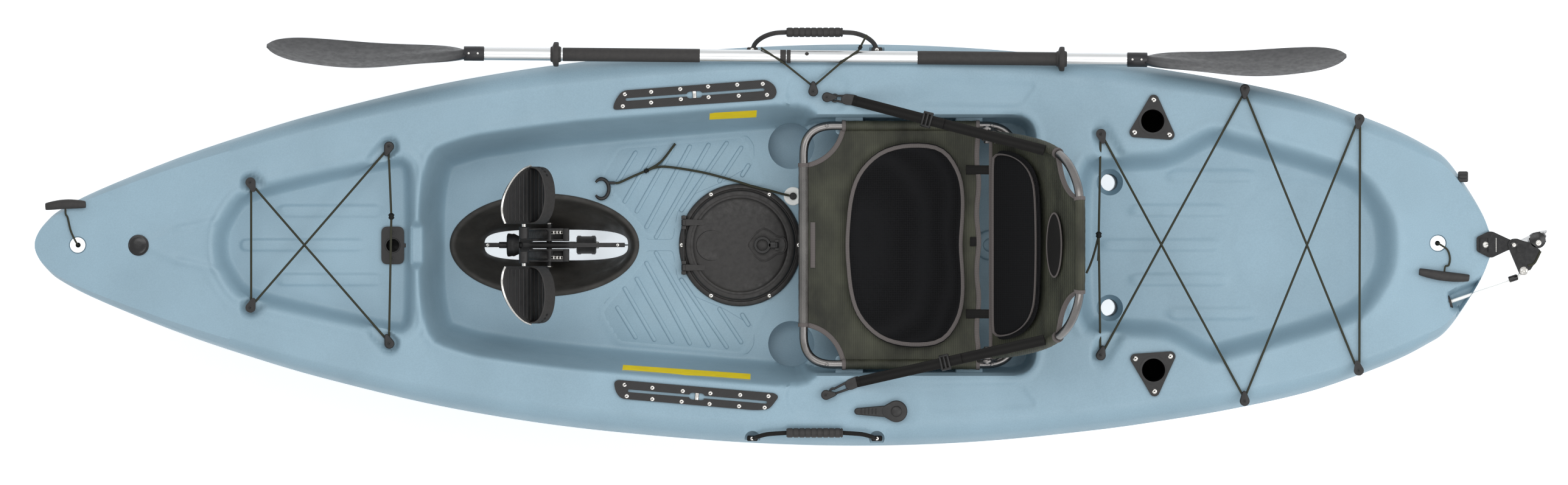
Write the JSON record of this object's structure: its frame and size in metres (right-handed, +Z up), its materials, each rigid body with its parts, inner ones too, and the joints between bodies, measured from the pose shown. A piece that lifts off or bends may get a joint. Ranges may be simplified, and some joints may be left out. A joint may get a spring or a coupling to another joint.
{
  "type": "pedal kayak",
  "caption": "Sit-on-top kayak with a fin pedal drive, framed mesh seat, kick-up rudder, bungee cargo wells and a paddle held along its side.",
  "frame": {"origin": "on the flat keel strip under the middle of the hull's length and on its centreline", "axes": "+X along the hull from bow to stern, +Y to starboard, +Z up from keel to deck"},
  "size_m": [3.334, 0.9199, 1.181],
  "materials": {
    "hull_plastic": "slate blue moulded polyethylene, lightly mottled",
    "liner_plastic": "brown black, matte",
    "black_plastic": "black, satin",
    "fin_plastic": "black, smooth",
    "white_plastic": "white, smooth",
    "paddle_plastic": "dark grey, lightly grained",
    "elastic_cord": "black cord with an olive fleck",
    "black_rubber": "black, ribbed grip",
    "seat_tube": "satin grey tube",
    "paddle_tube": "brushed silver tube",
    "seat_mesh": "ribbed open mesh, olive grey",
    "seat_fabric": "black spacer fabric and webbing"
  },
  "bodies": {
    "hull": {"hull_shell": "hull_plastic", "drive_well_liner": "liner_plastic", "hatch_frame": "black_plastic", "bow_socket": "black_plastic", "rod_holder_starboard": "black_plastic", "rod_holder_port": "black_plastic", "gear_plate_starboard": "black_plastic", "gear_plate_port": "black_plastic", "bow_pad_eye_1": "black_plastic", "bow_pad_eye_2": "black_plastic", "bow_pad_eye_3": "black_plastic", "bow_pad_eye_4": "black_plastic", "stern_pad_eye_1": "black_plastic", "stern_pad_eye_2": "black_plastic", "stern_pad_eye_3": "black_plastic", "stern_pad_eye_4": "black_plastic", "stern_pad_eye_5": "black_plastic", "stern_pad_eye_6": "black_plastic", "bow_bungee": "elastic_cord", "stern_bungee": "elastic_cord", "keeper_eye": "black_plastic", "paddle_keeper_bungee": "elastic_cord", "bow_toggle": "black_plastic", "bow_toggle_cord": "elastic_cord", "stern_toggle": "black_plastic", "stern_toggle_cord": "elastic_cord", "leash_anchor": "white_plastic", "leash_cord": "elastic_cord", "leash_hook": "black_plastic", "drive_spine": "black_plastic", "seat_frame": "seat_tube", "seat_sling": "seat_mesh", "seat_pad": "seat_fabric", "strap_eye_starboard": "black_plastic", "seat_strap_starboard": "seat_fabric", "strap_eye_port": "black_plastic", "seat_strap_port": "seat_fabric", "rudder_bracket": "black_plastic", "paddle_shaft_fore": "paddle_tube", "paddle_blade_fore": "paddle_plastic"},
    "hatch_cover": {"hatch_lid": "black_plastic"},
    "hatch_catch": {"hatch_latch": "black_plastic"},
    "handle_starboard": {"carry_handle_starboard": "black_rubber"},
    "handle_port": {"carry_handle_port": "black_rubber"},
    "crank_arm_starboard": {"crank_starboard": "black_plastic"},
    "crank_arm_port": {"crank_port": "black_plastic"},
    "foot_pedal_starboard": {"pedal_starboard": "black_plastic"},
    "foot_pedal_port": {"pedal_port": "black_plastic"},
    "front_fin": {"fin_front": "fin_plastic"},
    "rear_fin": {"fin_rear": "fin_plastic"},
    "seat_back": {"back_frame": "seat_tube", "back_sling": "seat_mesh", "back_pad": "seat_fabric"},
    "lever": {"steering_lever": "black_plastic"},
    "tiller": {"rudder_tiller": "black_plastic"},
    "blade": {"rudder_blade": "black_plastic"},
    "link_rod": {"steering_rod": "white_plastic"},
    "paddle_aft_half": {"paddle_shaft_aft": "paddle_tube", "paddle_blade_aft": "paddle_plastic"}
  },
  "joints": [
    {"name": "hatch_open", "type": "hinge", "parent": "hull", "child": "hatch_cover", "pos_m": [-0.17499, 0, 0.1363], "axis": [0, -1, 0], "range_deg": [0, 105]},
    {"name": "latch_lift", "type": "hinge", "parent": "hatch_cover", "child": "hatch_catch", "pos_m": [0.03101, 0, 0.1454], "axis": [0, 1, 0], "range_deg": [0, 90]},
    {"name": "handle_swing_starboard", "type": "hinge", "parent": "hull", "child": "handle_starboard", "pos_m": [0.114, 0.42913, 0.2703], "axis": [1, 0, 0], "range_deg": [-18, 20]},
    {"name": "handle_swing_port", "type": "hinge", "parent": "hull", "child": "handle_port", "pos_m": [0.114, -0.42512, 0.2703], "axis": [1, 0, 0], "range_deg": [0, 80]},
    {"name": "crank_swing_starboard", "type": "hinge", "parent": "hull", "child": "crank_arm_starboard", "pos_m": [-0.47452, 0, 0.078], "axis": [0, 1, 0], "range_deg": [-25, 25]},
    {"name": "crank_swing_port", "type": "hinge", "parent": "hull", "child": "crank_arm_port", "pos_m": [-0.47452, 0, 0.078], "axis": [0, 1, 0], "range_deg": [-25, 25]},
    {"name": "pedal_tilt_starboard", "type": "hinge", "parent": "crank_arm_starboard", "child": "foot_pedal_starboard", "pos_m": [-0.52264, 0.1, 0.345], "axis": [0, 1, 0], "range_deg": [-30, 30]},
    {"name": "pedal_tilt_port", "type": "hinge", "parent": "crank_arm_port", "child": "foot_pedal_port", "pos_m": [-0.52264, -0.1, 0.345], "axis": [0, 1, 0], "range_deg": [-30, 30]},
    {"name": "fin_sweep_front", "type": "hinge", "parent": "hull", "child": "front_fin", "pos_m": [-0.53601, 0, -0.028], "axis": [1, 0, 0], "range_deg": [-80, 80]},
    {"name": "fin_sweep_rear", "type": "hinge", "parent": "hull", "child": "rear_fin", "pos_m": [-0.39432, 0, -0.028], "axis": [1, 0, 0], "range_deg": [-80, 80]},
    {"name": "seat_recline", "type": "hinge", "parent": "hull", "child": "seat_back", "pos_m": [0.49323, 0, 0.27693], "axis": [0, 1, 0], "range_deg": [-90, 8], "deforming": ["seat_strap_starboard", "seat_strap_port"]},
    {"name": "lever_swing", "type": "hinge", "parent": "hull", "child": "lever", "pos_m": [0.2934, -0.36496, 0.308], "axis": [0, 0, 1], "range_deg": [-20, 20]},
    {"name": "rudder_swing", "type": "hinge", "parent": "hull", "child": "tiller", "pos_m": [1.64705, 0.0004, 0.318], "axis": [0, 0, 1], "range_deg": [-25, 25]},
    {"name": "rudder_kick", "type": "hinge", "parent": "tiller", "child": "blade", "pos_m": [1.69891, 0.01069, 0.275], "axis": [0.5446, -0.8387, 0], "range_deg": [0, 90]},
    {"name": "rod_pivot", "type": "hinge", "parent": "tiller", "child": "link_rod", "pos_m": [1.66871, -0.05695, 0.284], "axis": [0, 0, 1], "range_deg": [-25, 25]},
    {"name": "paddle_feather", "type": "hinge", "parent": "hull", "child": "paddle_aft_half", "pos_m": [0.05213, 0.41388, 0.3108], "axis": [1, -0.0093, 0], "range_deg": [0, 45]}
  ],
  "couplings": [
    {"joint": "crank_swing_port", "follows": "crank_swing_starboard", "ratio": -1},
    {"joint": "fin_sweep_front", "follows": "crank_swing_starboard", "ratio": 3.2},
    {"joint": "fin_sweep_rear", "follows": "crank_swing_starboard", "ratio": -3.2},
    {"joint": "lever_swing", "follows": "rudder_swing", "ratio": 0.8},
    {"joint": "rod_pivot", "follows": "rudder_swing", "ratio": -1}
  ]
}
